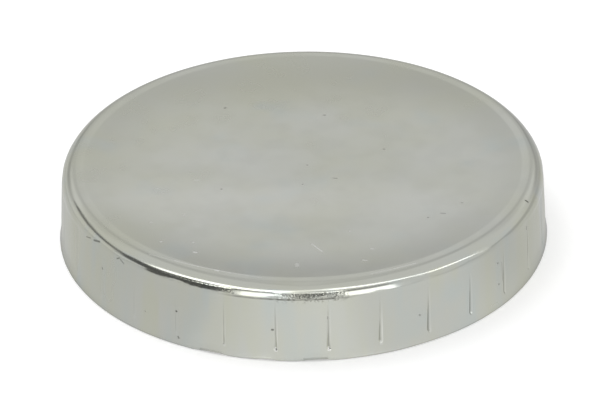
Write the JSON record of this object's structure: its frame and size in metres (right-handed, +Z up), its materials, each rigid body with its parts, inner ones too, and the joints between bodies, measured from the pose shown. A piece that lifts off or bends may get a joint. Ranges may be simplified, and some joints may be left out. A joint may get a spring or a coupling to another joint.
{
  "type": "fuel cap",
  "caption": "Round zinc-plated steel bayonet fuel cap with a dished top, a low fluted skirt, a lugged inner cup and a rubber sealing ring.",
  "frame": {"origin": "centre of the skirt's lower edge, on the surface the cap stands on", "axes": "+Z up along the cap's axis, towards the dished top; +X towards the vent hole in the inner cup; the two lugs point along +Y and -Y"},
  "size_m": [0.077, 0.077, 0.0124],
  "materials": {
    "zinc_shell": "semi-matte zinc plating with fine scuffs",
    "zinc_cup": "semi-matte zinc plating",
    "black_rubber": "matt moulded rubber"
  },
  "bodies": {
    "root": {"cap_shell": "zinc_shell", "bayonet_cup": "zinc_cup", "sealing_ring": "black_rubber"}
  },
  "joints": []
}
